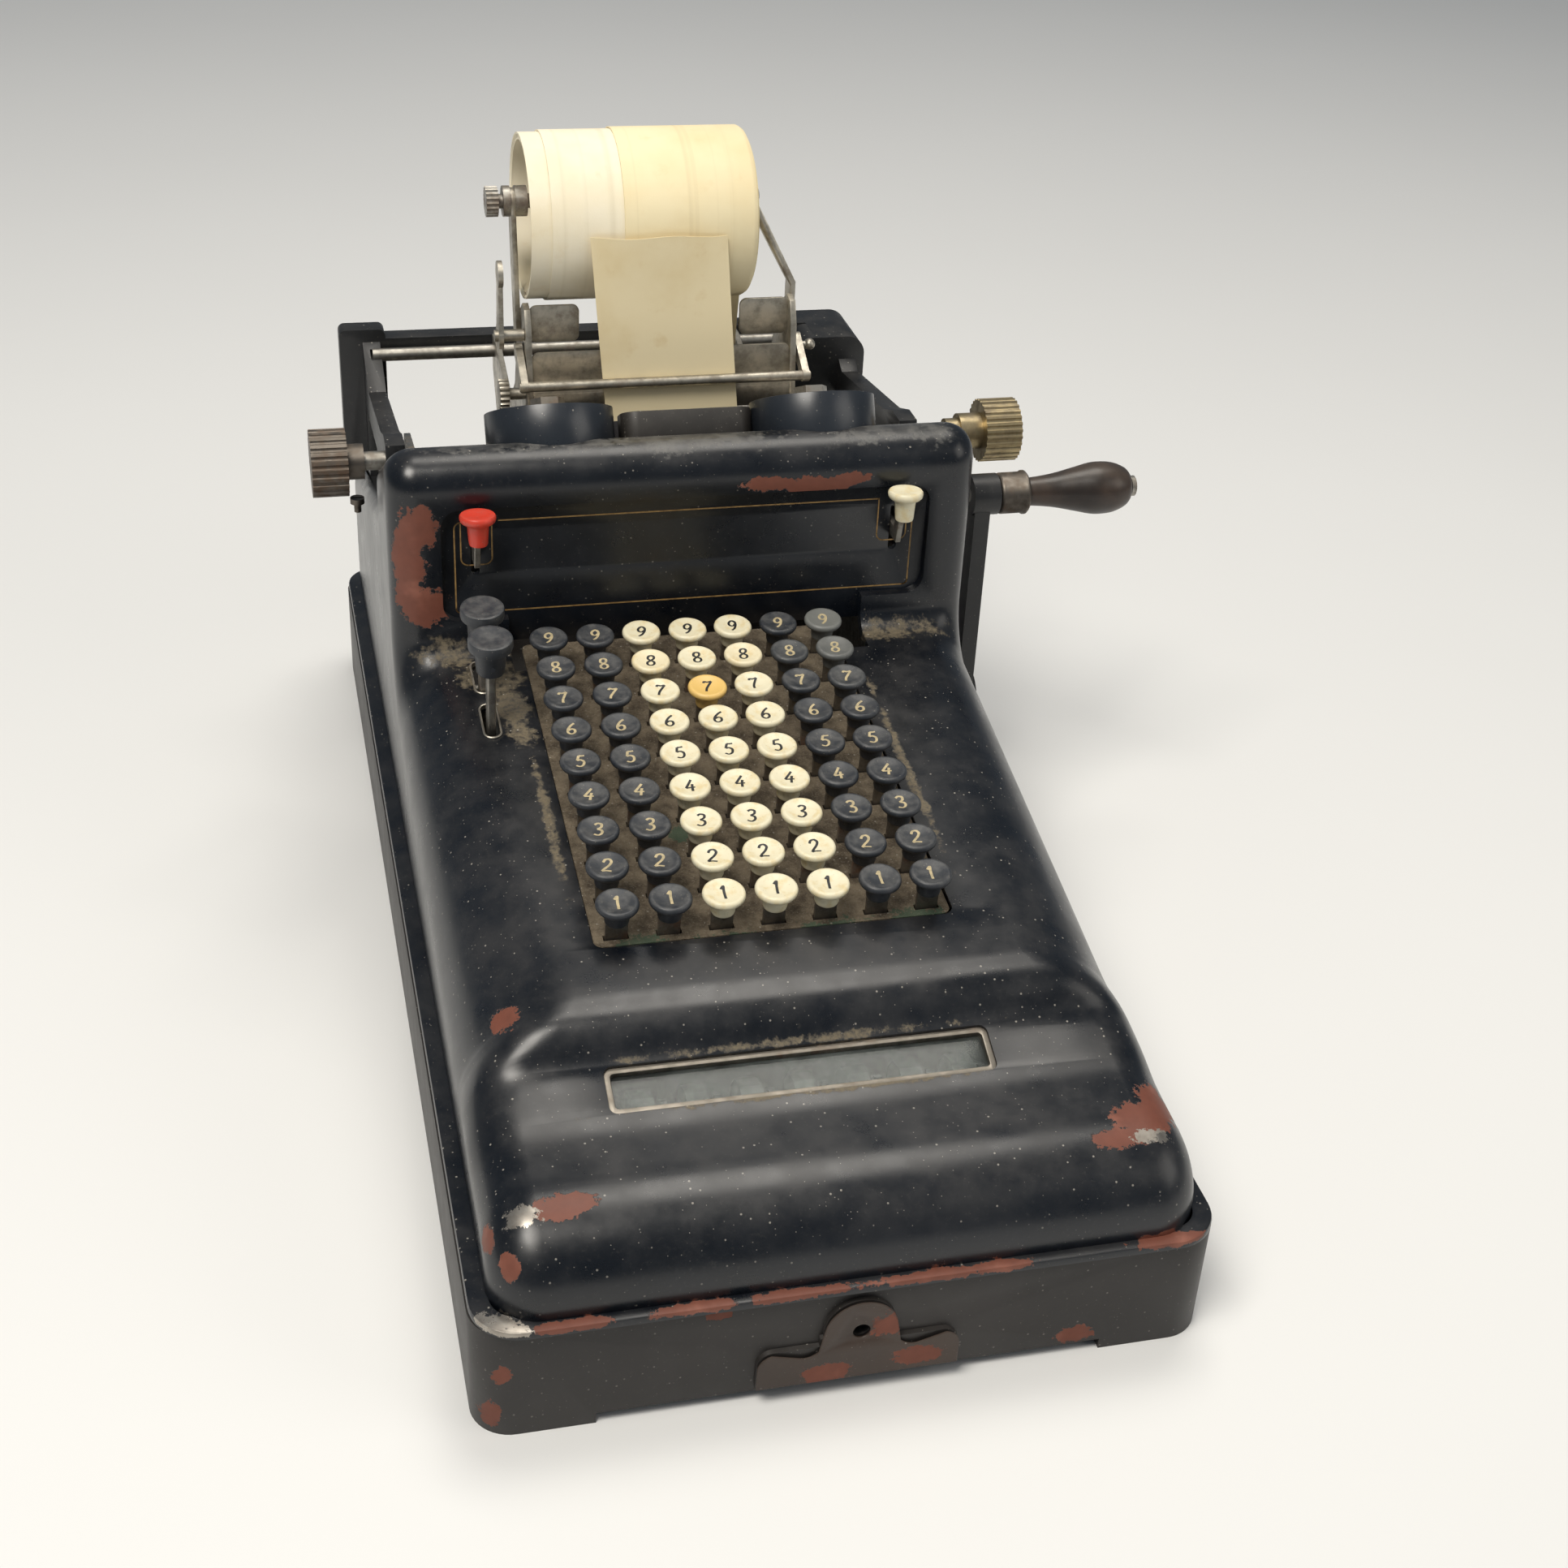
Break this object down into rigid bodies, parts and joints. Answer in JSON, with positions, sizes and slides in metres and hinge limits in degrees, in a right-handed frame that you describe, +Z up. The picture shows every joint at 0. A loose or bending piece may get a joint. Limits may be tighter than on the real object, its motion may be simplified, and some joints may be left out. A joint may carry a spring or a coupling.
{
  "type": "adding machine",
  "caption": "Full-keyboard desk adding machine with a hand crank, printing carriage, paper roll and worn black enamel case.",
  "frame": {"origin": "middle of the case on the plane the base stands on", "axes": "X to the operator's right, Y away from the operator along the case's length, Z up"},
  "size_m": [0.3559, 0.54, 0.3073],
  "materials": {
    "black_enamel": "semi-gloss black enamel with a blue cast, dusty and chipped to red-brown primer",
    "base_black": "matte brown-black paint with chips and rust",
    "dark_cast": "black paint on castings, dusty",
    "dull_nickel": "dull nickel plating with tarnish",
    "plain_steel": "bare steel with light rust",
    "brass_knob": "worn plating over brass",
    "ivory_key": "yellowed ivory celluloid",
    "black_key": "black celluloid, dusty",
    "red_key": "red celluloid",
    "felt_plate": "dusty brown felt",
    "dark_rubber": "hard platen rubber",
    "grip_wood": "ebonised turned wood",
    "window_glass": "clear, dusty",
    "paper": "yellowed paper",
    "ribbon": "inked ribbon",
    "dial_white": "painted number wheels"
  },
  "bodies": {
    "case": {"base_pan": "base_black", "case_cover": "black_enamel", "case_screws": "plain_steel", "window_bezel": "dull_nickel", "window_glass": "window_glass", "key_plate": "felt_plate", "key_comb": "plain_steel", "left_side_frame": "plain_steel", "right_side_frame": "plain_steel", "frame_rods": "plain_steel", "dial_shaft": "plain_steel", "type_guard": "black_enamel", "left_spool_cup": "dark_cast", "right_spool_cup": "dark_cast", "ribbon_span": "ribbon", "print_frame": "dark_cast", "left_carriage_plate": "dull_nickel", "right_carriage_plate": "dull_nickel", "paper_guides": "dull_nickel", "guide_plate": "dull_nickel", "roll_arms": "dull_nickel", "roll_spindle": "plain_steel", "paper_strip": "paper"},
    "dials": {"dial_wheels": "dial_white"},
    "white_key_row_1": {"white_keys_1": "ivory_key"},
    "white_key_row_2": {"white_keys_2": "ivory_key"},
    "white_key_row_3": {"white_keys_3": "ivory_key"},
    "white_key_row_4": {"white_keys_4": "ivory_key"},
    "white_key_row_5": {"white_keys_5": "ivory_key"},
    "white_key_row_6": {"white_keys_6": "ivory_key"},
    "white_key_row_7": {"white_keys_7": "ivory_key"},
    "white_key_row_8": {"white_keys_8": "ivory_key"},
    "white_key_row_9": {"white_keys_9": "ivory_key"},
    "black_key_row_1": {"black_keys_1": "black_key"},
    "black_key_row_2": {"black_keys_2": "black_key"},
    "black_key_row_3": {"black_keys_3": "black_key"},
    "black_key_row_4": {"black_keys_4": "black_key"},
    "black_key_row_5": {"black_keys_5": "black_key"},
    "black_key_row_6": {"black_keys_6": "black_key"},
    "black_key_row_7": {"black_keys_7": "black_key"},
    "black_key_row_8": {"black_keys_8": "black_key"},
    "black_key_row_9": {"black_keys_9": "black_key"},
    "total_button": {"total_key": "black_key"},
    "subtotal_button": {"subtotal_key": "black_key"},
    "red_button": {"red_key": "red_key"},
    "repeat_button": {"repeat_key": "ivory_key"},
    "crank": {"crank_arm": "dark_cast", "crank_shaft": "plain_steel", "crank_pin": "plain_steel"},
    "grip": {"crank_grip": "grip_wood"},
    "type_action": {"type_bars": "plain_steel"},
    "ribbon_left": {"left_spool": "plain_steel"},
    "ribbon_right": {"right_spool": "plain_steel"},
    "platen_roller": {"platen": "dark_rubber", "platen_shaft": "plain_steel", "left_platen_knob": "dark_cast", "right_platen_knob": "brass_knob"},
    "bail": {"paper_bail": "dull_nickel"},
    "release": {"release_lever": "dull_nickel"},
    "roll": {"paper_roll": "paper"}
  },
  "joints": [
    {"name": "dials_turn", "type": "hinge", "parent": "case", "child": "dials", "pos_m": [-0.008, -0.196, 0.062], "axis": [1, 0, 0], "continuous": true},
    {"name": "white_row_1_press", "type": "slide", "parent": "case", "child": "white_key_row_1", "axis": [0, 0.1097, -0.994], "range_m": [0, 0.004], "stiffness_N_per_m": 300, "springref_m": -0.004},
    {"name": "white_row_2_press", "type": "slide", "parent": "case", "child": "white_key_row_2", "axis": [0, 0.1097, -0.994], "range_m": [0, 0.004], "stiffness_N_per_m": 300, "springref_m": -0.004},
    {"name": "white_row_3_press", "type": "slide", "parent": "case", "child": "white_key_row_3", "axis": [0, 0.1097, -0.994], "range_m": [0, 0.004], "stiffness_N_per_m": 300, "springref_m": -0.004},
    {"name": "white_row_4_press", "type": "slide", "parent": "case", "child": "white_key_row_4", "axis": [0, 0.1097, -0.994], "range_m": [0, 0.004], "stiffness_N_per_m": 300, "springref_m": -0.004},
    {"name": "white_row_5_press", "type": "slide", "parent": "case", "child": "white_key_row_5", "axis": [0, 0.1097, -0.994], "range_m": [0, 0.004], "stiffness_N_per_m": 300, "springref_m": -0.004},
    {"name": "white_row_6_press", "type": "slide", "parent": "case", "child": "white_key_row_6", "axis": [0, 0.1097, -0.994], "range_m": [0, 0.004], "stiffness_N_per_m": 300, "springref_m": -0.004},
    {"name": "white_row_7_press", "type": "slide", "parent": "case", "child": "white_key_row_7", "axis": [0, 0.1097, -0.994], "range_m": [0, 0.004], "stiffness_N_per_m": 300, "springref_m": -0.004},
    {"name": "white_row_8_press", "type": "slide", "parent": "case", "child": "white_key_row_8", "axis": [0, 0.1097, -0.994], "range_m": [0, 0.004], "stiffness_N_per_m": 300, "springref_m": -0.004},
    {"name": "white_row_9_press", "type": "slide", "parent": "case", "child": "white_key_row_9", "axis": [0, 0.1097, -0.994], "range_m": [0, 0.004], "stiffness_N_per_m": 300, "springref_m": -0.004},
    {"name": "black_row_1_press", "type": "slide", "parent": "case", "child": "black_key_row_1", "axis": [0, 0.1097, -0.994], "range_m": [0, 0.004], "stiffness_N_per_m": 300, "springref_m": -0.004},
    {"name": "black_row_2_press", "type": "slide", "parent": "case", "child": "black_key_row_2", "axis": [0, 0.1097, -0.994], "range_m": [0, 0.004], "stiffness_N_per_m": 300, "springref_m": -0.004},
    {"name": "black_row_3_press", "type": "slide", "parent": "case", "child": "black_key_row_3", "axis": [0, 0.1097, -0.994], "range_m": [0, 0.004], "stiffness_N_per_m": 300, "springref_m": -0.004},
    {"name": "black_row_4_press", "type": "slide", "parent": "case", "child": "black_key_row_4", "axis": [0, 0.1097, -0.994], "range_m": [0, 0.004], "stiffness_N_per_m": 300, "springref_m": -0.004},
    {"name": "black_row_5_press", "type": "slide", "parent": "case", "child": "black_key_row_5", "axis": [0, 0.1097, -0.994], "range_m": [0, 0.004], "stiffness_N_per_m": 300, "springref_m": -0.004},
    {"name": "black_row_6_press", "type": "slide", "parent": "case", "child": "black_key_row_6", "axis": [0, 0.1097, -0.994], "range_m": [0, 0.004], "stiffness_N_per_m": 300, "springref_m": -0.004},
    {"name": "black_row_7_press", "type": "slide", "parent": "case", "child": "black_key_row_7", "axis": [0, 0.1097, -0.994], "range_m": [0, 0.004], "stiffness_N_per_m": 300, "springref_m": -0.004},
    {"name": "black_row_8_press", "type": "slide", "parent": "case", "child": "black_key_row_8", "axis": [0, 0.1097, -0.994], "range_m": [0, 0.004], "stiffness_N_per_m": 300, "springref_m": -0.004},
    {"name": "black_row_9_press", "type": "slide", "parent": "case", "child": "black_key_row_9", "axis": [0, 0.1097, -0.994], "range_m": [0, 0.004], "stiffness_N_per_m": 300, "springref_m": -0.004},
    {"name": "total_press", "type": "slide", "parent": "case", "child": "total_button", "axis": [0, 0.1097, -0.994], "range_m": [0, 0.006], "stiffness_N_per_m": 350, "springref_m": -0.004},
    {"name": "subtotal_press", "type": "slide", "parent": "case", "child": "subtotal_button", "axis": [0, 0.1097, -0.994], "range_m": [0, 0.006], "stiffness_N_per_m": 350, "springref_m": -0.004},
    {"name": "red_press", "type": "slide", "parent": "case", "child": "red_button", "axis": [0, 0, -1], "range_m": [0, 0.006], "stiffness_N_per_m": 350, "springref_m": -0.004},
    {"name": "repeat_press", "type": "slide", "parent": "case", "child": "repeat_button", "axis": [0, 0, -1], "range_m": [0, 0.006], "stiffness_N_per_m": 350, "springref_m": -0.004},
    {"name": "crank_pull", "type": "hinge", "parent": "case", "child": "crank", "pos_m": [0, 0.07, 0.066], "axis": [1, 0, 0], "range_deg": [0, 65], "stiffness_Nm_per_rad": 2.5, "springref_deg": -28.65},
    {"name": "grip_spin", "type": "hinge", "parent": "crank", "child": "grip", "pos_m": [0.174, 0.07, 0.166], "axis": [1, 0, 0], "continuous": true},
    {"name": "type_rise", "type": "slide", "parent": "case", "child": "type_action", "axis": [0, 0, 1], "range_m": [0, 0.0138]},
    {"name": "left_spool_turn", "type": "hinge", "parent": "case", "child": "ribbon_left", "pos_m": [-0.0515, 0.0765, 0.2112], "axis": [0, 0.5, 0.866], "continuous": true},
    {"name": "right_spool_turn", "type": "hinge", "parent": "case", "child": "ribbon_right", "pos_m": [0.0595, 0.0765, 0.2112], "axis": [0, 0.5, 0.866], "continuous": true},
    {"name": "platen_turn", "type": "hinge", "parent": "case", "child": "platen_roller", "pos_m": [0, 0.11, 0.1784], "axis": [1, 0, 0], "continuous": true},
    {"name": "bail_lift", "type": "hinge", "parent": "case", "child": "bail", "pos_m": [0, 0.118, 0.222], "axis": [-1, 0, 0], "range_deg": [0, 40]},
    {"name": "release_pull", "type": "hinge", "parent": "case", "child": "release", "pos_m": [-0.067, 0.114, 0.23], "axis": [1, 0, 0], "range_deg": [0, 25]},
    {"name": "roll_turn", "type": "hinge", "parent": "case", "child": "roll", "pos_m": [-0.01, 0.14, 0.272], "axis": [1, 0, 0], "continuous": true}
  ],
  "couplings": [
    {"joint": "type_rise", "follows": "crank_pull", "m_per_rad": 0.0119},
    {"joint": "right_spool_turn", "follows": "left_spool_turn", "ratio": 1},
    {"joint": "roll_turn", "follows": "platen_turn", "ratio": 0.3626}
  ]
}
